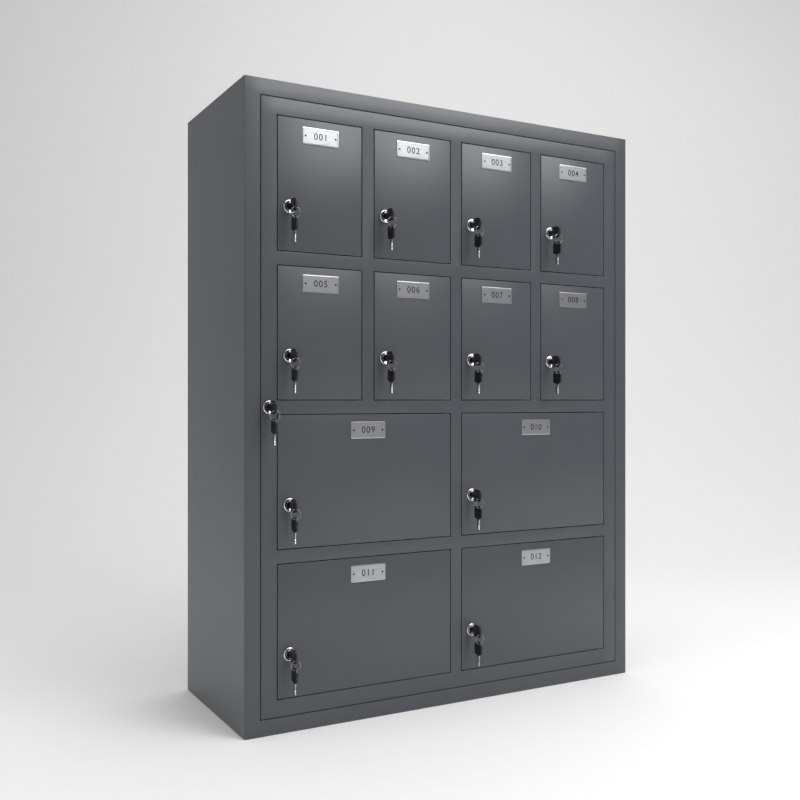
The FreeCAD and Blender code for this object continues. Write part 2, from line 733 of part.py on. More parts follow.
def build():
    """Build every sub-part."""
    side_panels()
    top_and_base()
    back_panel()
    surround()
    shelves()
    dividers()
    service_frame()
    rivet_body = rivet()
    doors = {1: door_solids("narrow", "narrow_leaf", rivet_body),
             2: door_solids("wide", "wide_leaf", rivet_body)}
    housing = lock_housing()
    nuts = {"small": lock_nut("small_nut", "door_sheet"),
            "service": lock_nut("service_nut", "frame_sheet")}
    blade, bow = key_blade(), key_bow()
    turning = [plug_core(), cam(), cam_screw(), blade, bow]
    hanging = [split_ring(), spare_key(blade, bow)]
    at = ("frame_in+stile_face/2-wide/2", "-deep/2", "tall/2")
    part(group("service_lock", [housing, nuts["service"]], *at), "master_lock")
    part(group("service_plug", turning, *at), "master_plug")
    part(group("service_ring", hanging, *at), "master_spare_key")
    for number, (column, row, covered) in sorted(DOORS.items()):
        left = f"grid_in+{column}*cell_wide+door_inset-wide/2"
        low = f"grid_in+{row}*cell_tall+door_inset"
        code = f"{number:02d}"
        part(group("door_" + code, doors[covered], left, "-deep/2", low), "small_door_" + code)
        at = (left + "+lock_in", "-deep/2", low + "+lock_up")
        part(group("lock_" + code, [housing, nuts["small"]], *at), "small_lock_" + code)
        part(group("plug_" + code, turning, *at), "small_plug_" + code)
        part(group("ring_" + code, hanging, *at), "spare_key_" + code)


def verify():
    """Stop if any object failed or any sub-part has no valid solid."""
    for thing in doc.Objects:
        if "Invalid" in thing.State or "Error" in thing.State:
            raise ValueError(f"{thing.Label}: {thing.State}")
    for thing in parts:
        if thing.Shape.isNull() or not thing.Shape.isValid() or not thing.Shape.Solids:
            raise ValueError(f"{thing.Label}: no valid solid")


def export():
    """Write each sub-part's solids to its own file."""
    os.makedirs("parts", exist_ok=True)
    for thing in parts:
        thing.Shape.exportStep(f"parts/{thing.Label}.step")


fill_sheet()
build()
doc.recompute()
verify()
export()
print(len(parts), "sub-parts")
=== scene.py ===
"""Sheet metal parcel locker: the finished looks of every piece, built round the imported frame."""

import json
import logging
import math
from dataclasses import astuple, dataclass, field, replace
from enum import Enum
from functools import lru_cache
from typing import Iterable, Mapping, Sequence

import bmesh
import bpy
from mathutils import Matrix, Vector

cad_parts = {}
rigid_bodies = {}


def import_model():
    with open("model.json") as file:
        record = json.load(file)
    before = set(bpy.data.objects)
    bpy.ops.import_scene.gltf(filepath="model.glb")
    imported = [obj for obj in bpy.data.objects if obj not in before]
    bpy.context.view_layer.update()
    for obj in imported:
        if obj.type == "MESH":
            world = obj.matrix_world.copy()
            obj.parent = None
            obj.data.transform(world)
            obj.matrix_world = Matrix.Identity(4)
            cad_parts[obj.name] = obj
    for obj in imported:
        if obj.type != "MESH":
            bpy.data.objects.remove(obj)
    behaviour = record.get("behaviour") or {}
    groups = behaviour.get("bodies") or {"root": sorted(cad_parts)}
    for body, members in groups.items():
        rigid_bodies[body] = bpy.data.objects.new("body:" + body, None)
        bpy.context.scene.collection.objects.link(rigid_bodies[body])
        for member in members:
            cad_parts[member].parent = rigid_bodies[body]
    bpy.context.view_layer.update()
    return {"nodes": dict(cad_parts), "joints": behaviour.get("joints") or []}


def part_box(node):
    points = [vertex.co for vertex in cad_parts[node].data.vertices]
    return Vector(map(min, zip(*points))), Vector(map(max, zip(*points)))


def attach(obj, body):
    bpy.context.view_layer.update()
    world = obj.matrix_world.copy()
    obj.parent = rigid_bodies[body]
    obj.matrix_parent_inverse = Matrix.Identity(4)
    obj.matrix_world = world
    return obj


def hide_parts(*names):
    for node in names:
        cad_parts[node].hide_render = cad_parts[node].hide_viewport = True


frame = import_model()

MM = 0.001
PIN_REACH = 9.1  # small door's pivot pins, past the leaf's top and bottom, in millimetres
LOG = logging.getLogger("locker")
Point = tuple[float, float]
Spot = tuple[float, float, float]
Socket = bpy.types.NodeSocket
Shape = bmesh.types.BMesh
Mesh = bpy.types.Mesh


class Axis(Enum):
    """The direction that a turned or extruded piece runs along."""

    X = 0
    Y = 1
    Z = 2


class Span(Enum):
    """How many grid columns a small door covers."""

    NARROW = 1
    WIDE = 2


class Slot(Enum):
    """The record's material slots."""

    CABINET = "cabinet_coat"
    BORDER = "border_coat"
    INNER = "inner_sheet"
    SERVICE = "service_door_coat"
    DOOR = "door_coat"
    LOCK = "lock_plating"
    PLUG = "plug_and_key"
    SPARE = "spare_key_metal"


# -------- finishes


def linear(code: str) -> tuple[float, float, float, float]:
    """Turn an sRGB hex colour into linear values.

    Args:
        code: Six hex digits, with or without a leading hash.

    Returns:
        Linear red, green, blue and an alpha of one.
    """
    text = code.lstrip("#")
    values = [int(text[i:i + 2], 16) / 255 for i in (0, 2, 4)]
    red, green, blue = [v / 12.92 if v <= 0.04045 else ((v + 0.055) / 1.055) ** 2.4 for v in values]
    return red, green, blue, 1.0


def add_node(
    tree: bpy.types.NodeTree,
    kind: str,
    settings: Mapping[str | int, object] | None = None,
    links: Mapping[str | int, Socket] | None = None,
) -> bpy.types.Node:
    """Add a node, set its sockets and properties, and link its inputs.

    Args:
        tree: The material's node tree.
        kind: The node's type name.
        settings: Socket values by name or number, or properties of the node by name.
        links: Source sockets by the input's name or number.

    Returns:
        The new node.
    """
    made = tree.nodes.new(kind)
    for key, value in (settings or {}).items():
        if isinstance(key, str) and key not in made.inputs:
            setattr(made, key, value)
        else:
            made.inputs[key].default_value = value
    for key, source in (links or {}).items():
        tree.links.new(source, made.inputs[key])
    return made


def per_metre(size_mm: float) -> float:
    """Return a texture scale that gives one cell for each size in millimetres."""
    return 1.0 / (size_mm * MM)


@dataclass(frozen=True)
class Canvas:
    """A material's nodes while its pattern is laid out, with object coordinates in metres."""

    tree: bpy.types.NodeTree
    shader: bpy.types.Node
    where: Socket

    def noise(self, size_mm: float, detail: float, roughness: float = 0.5) -> Socket:
        """Add a cloudy pattern.

        Args:
            size_mm: Size of its broadest patches.
            detail: How many finer layers it has.
            roughness: Strength of the finer layers.

        Returns:
            The pattern, from 0 to 1.
        """
        settings = {"Scale": per_metre(size_mm), "Detail": detail, "Roughness": roughness}
        return add_node(self.tree, "ShaderNodeTexNoise", settings, {"Vector": self.where}).outputs[0]

    def ramp(self, source: Socket, span: Point,
             result: Point) -> Socket:
        """Map a pattern's range onto another range.

        Args:
            source: The pattern.
            span: Lowest and highest value to read.
            result: What those two values become.

        Returns:
            The mapped value.
        """
        mapped = add_node(self.tree, "ShaderNodeMapRange", {
            "From Min": span[0], "From Max": span[1], "To Min": result[0], "To Max": result[1],
        }, {"Value": source})
        return mapped.outputs[0]

    def feed(self, name: str, source: Socket) -> None:
        """Link a pattern to one of the shader's inputs."""
        self.tree.links.new(source, self.shader.inputs[name])

    def tint(self, source: Socket, span: Point, first: str, second: str) -> None:
        """Mix two hex colours by a pattern and use them as the surface colour.

        Args:
            source: The pattern.
            span: Values of the pattern that give the first and the second colour.
            first: The first colour.
            second: The second colour.
        """
        factor = self.ramp(source, span, (0.0, 1.0))
        colours = {"data_type": "RGBA", 6: linear(first), 7: linear(second)}
        self.feed("Base Color", add_node(self.tree, "ShaderNodeMix", colours, {0: factor}).outputs[2])

    def relief(self, height: Socket, strength: float, depth_mm: float,
               under: Socket | None = None) -> Socket:
        """Add a surface relief.

        Args:
            height: The pattern.
            strength: How strongly it shows.
            depth_mm: Height of the relief.
            under: A broader relief that it lies on.

        Returns:
            The surface direction.
        """
        links = {"Height": height} | ({"Normal": under} if under else {})
        return add_node(self.tree, "ShaderNodeBump",
                        {"Strength": strength, "Distance": depth_mm * MM}, links).outputs[0]


@dataclass(frozen=True)
class Finish:
    """A surface finish; each kind of finish adds its own pattern nodes."""

    name: str
    colour: str
    roughness: float
    metallic: float = 0.0

    @lru_cache(maxsize=None)
    def material(self) -> bpy.types.Material:
        """Build the material once and return it."""
        made = bpy.data.materials.new(self.name)
        made.use_nodes = True
        tree = made.node_tree
        tree.nodes.clear()
        output = add_node(tree, "ShaderNodeOutputMaterial")
        shader = add_node(tree, "ShaderNodeBsdfPrincipled", {
            "Base Color": linear(self.colour),
            "Roughness": self.roughness,
            "Metallic": self.metallic,
        })
        tree.links.new(shader.outputs[0], output.inputs[0])
        where = add_node(tree, "ShaderNodeTexCoord").outputs["Object"]
        self.pattern(Canvas(tree, shader, where))
        made.diffuse_color = linear(self.colour)
        return made

    def pattern(self, canvas: Canvas) -> None:
        """Add the finish's own pattern."""

    def gloss(self, canvas: Canvas, source: Socket, span: Point, less: float,
              more: float) -> None:
        """Vary the roughness by a pattern.

        Args:
            canvas: The material's nodes.
            source: The pattern.
            span: Lowest and highest value of the pattern to read.
            less: How far the roughness falls below its usual value.
            more: How far it rises above it.
        """
        rough = canvas.ramp(source, span, (self.roughness - less, self.roughness + more))
        canvas.feed("Roughness", rough)


@dataclass(frozen=True)
class PowderCoat(Finish):
    """Polyester powder coat, sprayed dry and baked on folded steel sheet.

    It cures to a satin skin with a fine orange peel, and the sheet beneath isn't perfectly flat,
    so broad reflections waver a little. The peel is about 1 mm; it is drawn at 2.4 mm to show.
    """

    shade: str = "#5a5c60"
    peel_mm: float = 2.4
    cloud_mm: float = 140.0
    sheet_wave_mm: float = 260.0

    def pattern(self, canvas: Canvas) -> None:
        """Add cloudiness, peel and the sheet's slow waviness."""
        canvas.tint(canvas.noise(self.cloud_mm, 3.0, 0.55), (0.35, 0.65), self.colour, self.shade)
        peel = canvas.noise(self.peel_mm, 2.0)
        self.gloss(canvas, peel, (0.3, 0.7), 0.03, 0.05)
        broad = canvas.relief(canvas.noise(self.sheet_wave_mm, 1.0), 0.25, 1.6)
        canvas.feed("Normal", canvas.relief(peel, 0.22, 0.12, broad))


@dataclass(frozen=True)
class PlatedMetal(Finish):
    """Nickel or chromium plate on a polished casting, with faint handling haze in the gloss."""

    haze: float = 0.10
    haze_mm: float = 6.0

    def pattern(self, canvas: Canvas) -> None:
        """Add haze to the gloss and a trace of casting ripple."""
        smear = canvas.noise(self.haze_mm, 4.0, 0.6)
        self.gloss(canvas, smear, (0.35, 0.7), 0.0, self.haze)
        canvas.feed("Normal", canvas.relief(smear, 0.12, 0.1))


@dataclass(frozen=True)
class BrushedMetal(Finish):
    """Metal drawn past an abrasive belt: fine lines that run one way and stretch highlights.

    Real brush lines are about 0.05 mm apart; they are drawn at 0.5 mm to show.
    """

    dark: str = "#9a9b9d"
    along: Axis = Axis.X
    line_mm: float = 0.5
    stretch: float = 60.0

    def pattern(self, canvas: Canvas) -> None:
        """Add brush lines to the colour, gloss and surface."""
        scale = [per_metre(self.line_mm)] * 3
        scale[self.along.value] /= self.stretch
        stretched = add_node(canvas.tree, "ShaderNodeMapping", {"Scale": scale},
                             {"Vector": canvas.where})
        lines = replace(canvas, where=stretched.outputs[0]).noise(1 / MM, 3.0)
        canvas.tint(lines, (0.3, 0.7), self.colour, self.dark)
        self.gloss(canvas, lines, (0.3, 0.7), 0.06, 0.08)
        canvas.feed("Normal", canvas.relief(lines, 0.2, 0.06))


@dataclass(frozen=True)
class ZincPlate(Finish):
    """Bright zinc plate on pressed steel: pale blue grey with soft patches of passivation."""

    patch: str = "#8f979c"
    patch_mm: float = 7.0
    grain_mm: float = 0.8

    def pattern(self, canvas: Canvas) -> None:
        """Add passivation patches and a fine pressed grain."""
        patches = add_node(canvas.tree, "ShaderNodeTexVoronoi",
                           {"Scale": per_metre(self.patch_mm), "feature": "SMOOTH_F1"},
                           {"Vector": canvas.where})
        canvas.tint(patches.outputs["Distance"], (0.1, 0.7), self.colour, self.patch)
        canvas.feed("Normal", canvas.relief(canvas.noise(self.grain_mm, 3.0), 0.15, 0.06))


@dataclass(frozen=True)
class MouldedPlastic(Finish):
    """Glass filled nylon, injection moulded in a spark eroded tool: fine even grain, soft sheen."""

    grain_mm: float = 0.5
    rub_mm: float = 9.0
    rubbed: str = "#26272a"

    def pattern(self, canvas: Canvas) -> None:
        """Add the tool's grain and slightly paler rubbed areas."""
        canvas.tint(canvas.noise(self.rub_mm, 3.0), (0.45, 0.7), self.colour, self.rubbed)
        canvas.feed("Normal", canvas.relief(canvas.noise(self.grain_mm, 2.0), 0.35, 0.08))


@dataclass(frozen=True)
class StudioPaper(Finish):
    """Matt studio floor: seamless paper with barely visible fibre."""

    fibre: str = "#e9e9e9"
    fibre_mm: float = 35.0

    def pattern(self, canvas: Canvas) -> None:
        """Add a faint fibre mottle."""
        canvas.tint(canvas.noise(self.fibre_mm, 5.0), (0.0, 1.0), self.colour, self.fibre)


COAT = PowderCoat("powder_coat_graphite", "#4a4c51", 0.34, shade="#4d4f54")
INNER_COAT = PowderCoat("powder_coat_inner", "#484a4f", 0.42, shade="#4b4d52")
CHROME = PlatedMetal("chromium_plated_zinc", "#d8d9dc", 0.10, 1.0)
NICKEL = PlatedMetal("nickel_plated_brass", "#b4b5b7", 0.24, 1.0, haze=0.14)
WIRE = PlatedMetal("nickel_plated_spring_wire", "#b4b5b6", 0.18, 1.0)
# The plug is plated metal; its near black colour is painted shade, the shade of its recess inside the
# bezel.
PLUG_PAINTED_SHADE = PlatedMetal("dark_nickel_plug", "#3b3b3d", 0.26, 1.0)
# Painted shade: this near black piece stands for the shaded gap of the keyway round the blade.
KEYWAY_SHADE = MouldedPlastic("keyway_shutter_black", "#0b0b0c", 0.55)
PLATE = BrushedMetal("brushed_aluminium_plate", "#c6c7c9", 0.34, 1.0)
ZINC = ZincPlate("bright_zinc_steel", "#b4b9bd", 0.33, 1.0)
BOW = MouldedPlastic("moulded_nylon_black", "#131315", 0.38)
INK = MouldedPlastic("screen_ink_black", "#161618", 0.5, rubbed="#1f1f22")
RIVET = PlatedMetal("black_oxide_rivet", "#2b2c2e", 0.35, 1.0)
PIN = BrushedMetal("drawn_steel_pin", "#a7a9ab", 0.3, 1.0, dark="#7e8082", along=Axis.Z)
FLOOR = StudioPaper("studio_paper_white", "#f3f3f3", 0.75, fibre="#f6f6f6")


# -------- mesh tools


@dataclass(frozen=True)
class Rect:
    """A rectangle in the plane of the doors, in millimetres."""

    left: float
    low: float
    right: float
    high: float

    def holds(self, x: float, z: float) -> bool:
        """Say whether a point is inside."""
        return self.left < x < self.right and self.low < z < self.high

    def grown(self, edge: float) -> "Rect":
        """Return the rectangle with each side moved out."""
        return Rect(self.left - edge, self.low - edge, self.right + edge, self.high + edge)


@dataclass(frozen=True)
class Bevel:
    """Rounded edges."""

    width: float
    segments: int = 3
    angle: float = 30.0

    def add(self, thing: bpy.types.Object) -> None:
        """Add the modifier to an object."""
        modifier = thing.modifiers.new("bevel", "BEVEL")
        modifier.width = self.width * MM
        modifier.segments = self.segments
        modifier.limit_method = "ANGLE"
        modifier.angle_limit = math.radians(self.angle)
        modifier.use_clamp_overlap = True
        modifier.harden_normals = False


@dataclass(frozen=True)
class SheetMetal:
    """Sheet thickness, added on the inner side."""

    thickness: float

    def add(self, thing: bpy.types.Object) -> None:
        """Add the modifier to an object."""
        modifier = thing.modifiers.new("sheet", "SOLIDIFY")
        modifier.thickness = self.thickness * MM
        modifier.offset = -1.0
        modifier.use_even_offset = True


def as_mesh(name: str, shape: Shape) -> Mesh:
    """Turn a shape into a mesh and free the shape."""
    mesh = bpy.data.meshes.new(name)
    shape.to_mesh(mesh)
    shape.free()
    return mesh


def add_object(name: str, data: bpy.types.ID) -> bpy.types.Object:
    """Add an object with its mesh, light, camera or text to the scene."""
    thing = bpy.data.objects.new(name, data)
    bpy.context.scene.collection.objects.link(thing)
    return thing


@dataclass(frozen=True)
class Milled:
    """A straight slot cut out by a box shaped cutter."""

    low: Spot
    high: Spot

    def add(self, thing: bpy.types.Object) -> None:
        """Add the modifier to an object and make its cutter, a child of the object."""
        shape = bmesh.new()
        low, high = Vector(self.low), Vector(self.high)
        bmesh.ops.create_cube(shape, size=1.0)
        bmesh.ops.scale(shape, vec=(high - low) * MM, verts=shape.verts)
        bmesh.ops.translate(shape, vec=(high + low) / 2 * MM, verts=shape.verts)
        cutter = add_object("cutter", as_mesh("cutter", shape))
        cutter.parent = thing
        modifier = thing.modifiers.new("milled", "BOOLEAN")
        modifier.operation = "DIFFERENCE"
        modifier.solver = "EXACT"
        modifier.object = cutter


def finished_mesh(name: str, shape: Shape, finish: Finish,
                  *steps: Bevel | SheetMetal | Milled) -> Mesh:
    """Turn a shape in millimetres into a dressed mesh in metres.

    Args:
        name: Name of the mesh.
        shape: The shape, which is freed.
        finish: What the surface is.
        steps: Modifiers to apply, in order.

    Returns:
        The mesh, smooth except at its sharp edges.
    """
    bmesh.ops.scale(shape, vec=(MM, MM, MM), verts=shape.verts)
    mesh = as_mesh(name, shape)
    if steps:
        rough = add_object(name + "_rough", mesh)
        for step in steps:
            step.add(rough)
        ready = rough.evaluated_get(bpy.context.evaluated_depsgraph_get())
        mesh = bpy.data.meshes.new_from_object(ready)
        for spare in (*rough.children, rough):
            bpy.data.objects.remove(spare)
        mesh.name = name
    mesh.polygons.foreach_set("use_smooth", [True] * len(mesh.polygons))
    mesh.set_sharp_from_angle(angle=math.radians(34))
    mesh.materials.clear()
    mesh.materials.append(finish.material())
    return mesh


def stand(point: Sequence[float], axis: Axis) -> Vector:
    """Turn a point with its first value along an axis into a vector.

    Args:
        point: Position along the axis, then the two other positions.
        axis: The axis.

    Returns:
        The point in the locker's frame; the other two values keep the order X, Y, Z.
    """
    rest = list(point[1:])
    rest.insert(axis.value, point[0])
    return Vector(rest)


def circle(radius: float, count: int, start: float = 0.0) -> list[Point]:
    """Return evenly spaced points on a circle, the first at an angle in degrees."""
    angles = [math.radians(start + 360 * index / count) for index in range(count)]
    return [(radius * math.cos(angle), radius * math.sin(angle)) for angle in angles]


def skinned(shape: Shape, rings: Sequence[Sequence[bmesh.types.BMVert]], steps: int,
            ends: bool = False) -> Shape:
    """Join each ring of points to the next one by faces.

    Args:
        shape: The shape that the points are in.
        rings: Rings of points, or single points for tips.
        steps: Number of points in each ring.
        ends: Whether to close the first and the last ring.

    Returns:
        The same shape, with its faces turned outwards.
    """
    for first, second in zip(rings, rings[1:]):
        for step in range(steps):
            after = step + 1
            corners = dict.fromkeys([first[step % len(first)], first[after % len(first)],
                                     second[after % len(second)], second[step % len(second)]])
            if len(corners) > 2:
                shape.faces.new(list(corners))
    if ends:
        shape.faces.new(rings[0])
        shape.faces.new(rings[-1])
    bmesh.ops.recalc_face_normals(shape, faces=shape.faces)
    return shape


def gathered(shapes: Iterable[Shape]) -> Shape:
    """Join shapes into one shape and free them."""
    whole = bmesh.new()
    for shape in shapes:
        part = as_mesh("part", shape)
        whole.from_mesh(part)
        bpy.data.meshes.remove(part)
    return whole


def pin(start: float, length: float, radius: float, chamfer: float,
        steps: int) -> Shape:
    """Turn an upright pin with chamfered ends.

    Args:
        start: Height of its lower end.
        length: Its length.
        radius: Its radius.
        chamfer: Size of the chamfers.
        steps: Number of facets around.

    Returns:
        A closed shape.
    """
    end, tip = start + length, radius - chamfer
    profile = [(start, 0), (start, tip), (start + chamfer, radius), (end - chamfer, radius),
               (end, tip), (end, 0)]
    return turned(profile, Axis.Z, steps)


def turned(profile: Sequence[Point], axis: Axis = Axis.Y, steps: int = 48) -> Shape:
    """Turn a profile once around an axis.

    Args:
        profile: Position along the axis and radius of each point.
        axis: The axis of the turning.
        steps: Number of facets around.

    Returns:
        A closed shape when the profile starts and ends on the axis or meets itself.
    """
    shape = bmesh.new()
    rings = []
    for along, radius in profile:
        if radius < 1e-9:
            rings.append([shape.verts.new(stand((along, 0, 0), axis))])
            continue
        rings.append([shape.verts.new(stand((along, *spot), axis))
                      for spot in circle(radius, steps)])
    return skinned(shape, rings, steps)


def extruded(outline: Sequence[Point], start: float, end: float, axis: Axis = Axis.Y,
             holes: Iterable[Sequence[Point]] = ()) -> Shape:
    """Extrude a flat outline with holes along an axis.

    Args:
        outline: Corners of the outline.
        start: Where the piece starts along the axis.
        end: Where it ends.
        axis: The direction of extrusion.
        holes: Corners of each hole.

    Returns:
        A closed shape.
    """
    shape = bmesh.new()
    edges = []
    for loop in (outline, *holes):
        verts = [shape.verts.new(stand((start, *spot), axis)) for spot in loop]
        for index, vert in enumerate(verts):
            edges.append(shape.edges.new((vert, verts[(index + 1) % len(verts)])))
    bmesh.ops.triangle_fill(shape, edges=edges, use_beauty=True, use_dissolve=False)
    lifted = bmesh.ops.extrude_face_region(shape, geom=list(shape.faces))
    moved = [item for item in lifted["geom"] if isinstance(item, bmesh.types.BMVert)]
    bmesh.ops.translate(shape, verts=moved, vec=stand((end - start, 0, 0), axis))
    bmesh.ops.recalc_face_normals(shape, faces=shape.faces)
    return shape


def rounded(corners: Sequence[Point], radius: float | Sequence[float], steps: int = 5) -> list[Point]:
    """Round the corners of a polygon.

    Args:
        corners: The polygon.
        radius: One radius, or one for each corner.
        steps: Points on each rounded corner.

    Returns:
        The rounded outline.
    """
    count = len(corners)
    radii = [radius] * count if isinstance(radius, (int, float)) else list(radius)
    points = []
    for index, corner in enumerate(corners):
        here = Vector(corner)
        before = (Vector(corners[index - 1]) - here).normalized()
        after = (Vector(corners[(index + 1) % count]) - here).normalized()
        half = before.angle(after) / 2
        size = radii[index]
        if size < 1e-6:
            points.append(tuple(here))
            continue
        centre = here + (before + after).normalized() * size / math.sin(half)
        first = here + before * size / math.tan(half) - centre
        last = here + after * size / math.tan(half) - centre
        for step in range(steps + 1):
            share = step / steps
            spoke = first.slerp(last, share) if first.angle(last) > 1e-4 else first
            points.append(tuple(centre + spoke.normalized() * size))
    return points


def folded_front(outer: Rect, holes: Sequence[Rect], edge_fold: float,
                 hole_fold: float) -> Shape:
    """Make a front sheet with openings, folded back round its edge and round each opening.

    Args:
        outer: The sheet's outline.
        holes: The openings.
        edge_fold: Depth of the fold round the outline; 0 for none.
        hole_fold: Depth of the fold round each opening.

    Returns:
        An open sheet with its face at y = 0 and its folds towards +Y.
    """
    xs = sorted({outer.left, outer.right, *(v for r in holes for v in (r.left, r.right))})
    zs = sorted({outer.low, outer.high, *(v for r in holes for v in (r.low, r.high))})
    shape = bmesh.new()
    grid = {(x, z): shape.verts.new((x, 0, z)) for x in xs for z in zs}
    for x0, x1 in zip(xs, xs[1:]):
        for z0, z1 in zip(zs, zs[1:]):
            if not any(hole.holds((x0 + x1) / 2, (z0 + z1) / 2) for hole in holes):
                shape.faces.new([grid[x0, z0], grid[x1, z0], grid[x1, z1], grid[x0, z1]])
    bmesh.ops.delete(shape, geom=[v for v in shape.verts if not v.link_faces], context="VERTS")
    rim = {True: [], False: []}
    for edge in [e for e in shape.edges if len(e.link_faces) == 1]:
        middle = (edge.verts[0].co + edge.verts[1].co) / 2
        rim[outer.grown(-0.01).holds(middle.x, middle.z)].append(edge)
    for inside, depth in ((False, edge_fold), (True, hole_fold)):
        if depth and rim[inside]:
            lifted = bmesh.ops.extrude_edge_only(shape, edges=rim[inside])
            moved = [v for v in lifted["geom"] if isinstance(v, bmesh.types.BMVert)]
            bmesh.ops.translate(shape, verts=moved, vec=(0, depth, 0))
    bmesh.ops.recalc_face_normals(shape, faces=shape.faces)
    front = next(f for f in shape.faces if abs(f.normal.y) > 0.9)
    if front.normal.y > 0:
        bmesh.ops.reverse_faces(shape, faces=shape.faces)
    return shape


def stacked(loops: Sequence[tuple[float, Sequence[Point]]], axis: Axis) -> Shape:
    """Skin a stack of flat loops and close it at both ends.

    Args:
        loops: Position along the axis and outline of each loop, all with as many points.
        axis: The axis that the loops are stacked along.

    Returns:
        A closed shape.
    """
    shape = bmesh.new()
    rings = [[shape.verts.new(stand((along, *spot), axis)) for spot in loop]
             for along, loop in loops]
    return skinned(shape, rings, len(rings[0]), ends=True)


def swept(path: Sequence[Vector], radius: float, steps: int = 12) -> Shape:
    """Sweep a round wire along a path.

    Args:
        path: Points of the wire's centre line.
        radius: Radius of the wire.
        steps: Number of facets around the wire.

    Returns:
        A closed shape.
    """
    shape = bmesh.new()
    rings = []
    last = len(path) - 1
    for index, spot in enumerate(path):
        tangent = (path[min(index + 1, last)] - path[max(index - 1, 0)]).normalized()
        side = tangent.cross(Vector((0, 1, 0))).normalized()
        up = side.cross(tangent)
        rings.append([shape.verts.new(spot + side * x + up * y) for x, y in circle(radius, steps)])
    return skinned(shape, rings, steps, ends=True)


def place(name: str, mesh: Mesh, body: str, slot: Slot, at: Vector,
          *stands_for: str) -> bpy.types.Object:
    """Put a piece in the scene and make it ride on a body.

    Args:
        name: Name of the piece.
        mesh: Its mesh, in metres.
        body: The body that it moves with.
        slot: The record's material slot; not used.
        at: Position of the mesh's origin, in metres.
        stands_for: CAD nodes that the piece replaces.

    Returns:
        The new object.
    """
    thing = add_object(name, mesh)
    thing.location = at
    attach(thing, body)
    if stands_for:
        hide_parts(*stands_for)
    LOG.info("%s rides on %s", name, body)
    return thing


def dress_node(node: str, finish: Finish, bevel: Bevel) -> None:
    """Give a CAD node its finish and softened edges.

    Args:
        node: Name of the node.
        finish: What the surface is.
        bevel: How its edges are rounded.
    """
    thing = frame["nodes"][node]
    thing.data.materials.clear()
    thing.data.materials.append(finish.material())
    bevel.add(thing)
    LOG.info("%s is dressed in %s", node, finish.name)


def front_of(node: str) -> Rect:
    """Return a CAD node's outline seen from the front, in millimetres."""
    low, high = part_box(node)
    return Rect(low.x / MM, low.z / MM, high.x / MM, high.z / MM)


def joint_at(name: str) -> Vector:
    """Return the position of a joint, in metres."""
    found = next(joint for joint in frame["joints"] if joint["name"] == name)
    return Vector(found["pos_m"])


# -------- cabinet


@dataclass
class Cabinet:
    """The fixed case: panels, front border, shelves and dividers."""

    sheet: float = 1.2
    border_face: float = 30.0
    border_lip: float = 18.0
    edge_round: float = 0.9
    pivot_radius: float = 3.0
    pivot_length: float = 15.9
    pivot_tail: float = 6.0

    def border(self) -> None:
        """Build the front border as one continuous folded sheet."""
        outer, face = front_of("front_surround"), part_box("front_surround")[0].y
        shape = folded_front(outer, [outer.grown(-self.border_face)], 0.0, self.border_lip)
        mesh = finished_mesh("border", shape, COAT, SheetMetal(self.sheet), Bevel(self.edge_round))
        place("front_border", mesh, "cabinet", Slot.BORDER, Vector((0, face, 0)),
              "front_surround")

    def pivots(self) -> None:
        """Build the two pivot pins that carry the service door."""
        shape = pin(0, self.pivot_length, self.pivot_radius, 0.5, 32)
        mesh = finished_mesh("service_pivot", shape, PIN)
        axis = joint_at("service_door_hinge")
        outer = front_of("front_surround")
        reach = self.border_face - self.sheet - self.pivot_tail
        for name, z in (("low", outer.low + reach),
                        ("high", outer.high - reach - self.pivot_length)):
            place(f"service_pivot_{name}", mesh, "cabinet", Slot.BORDER,
                  Vector((axis.x, axis.y, z * MM)))

    def panels(self) -> None:
        """Dress the flat panels, shelves and dividers."""
        for node in ("left_side_panel", "right_side_panel", "top_panel", "base_panel",
                     "back_panel"):
            dress_node(node, COAT, Bevel(0.25, 2))
        for node in ("shelves", "dividers"):
            dress_node(node, INNER_COAT, Bevel(0.35, 2))

    def build(self) -> None:
        """Build the whole case."""
        self.border()
        self.pivots()
        self.panels()


# -------- service door


@dataclass
class ServiceDoor:
    """The tall service door: one welded frame that carries every small door."""

    sheet: float = 1.5
    depth: float = 20.0
    gap: float = 1.6
    edge_round: float = 0.9

    def openings(self) -> list[Rect]:
        """Return the opening round each small door, in millimetres."""
        found = []
        for number in range(1, 13):
            box = front_of(f"small_door_{number:02d}")
            leaf = Rect(box.left, box.low + PIN_REACH, box.right, box.high - PIN_REACH)
            found.append(Rect(*(round(edge, 3) for edge in astuple(leaf.grown(self.gap)))))
        return found

    def build(self) -> None:
        """Build the frame with its folded openings."""
        shape = folded_front(front_of("master_frame"), self.openings(), self.depth, self.depth)
        mesh = finished_mesh("service_frame", shape, COAT, SheetMetal(self.sheet),
                             Bevel(self.edge_round))
        place("service_door_frame", mesh, "service_door", Slot.SERVICE,
              Vector((0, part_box("master_frame")[0].y, 0)), "master_frame")


# -------- small doors


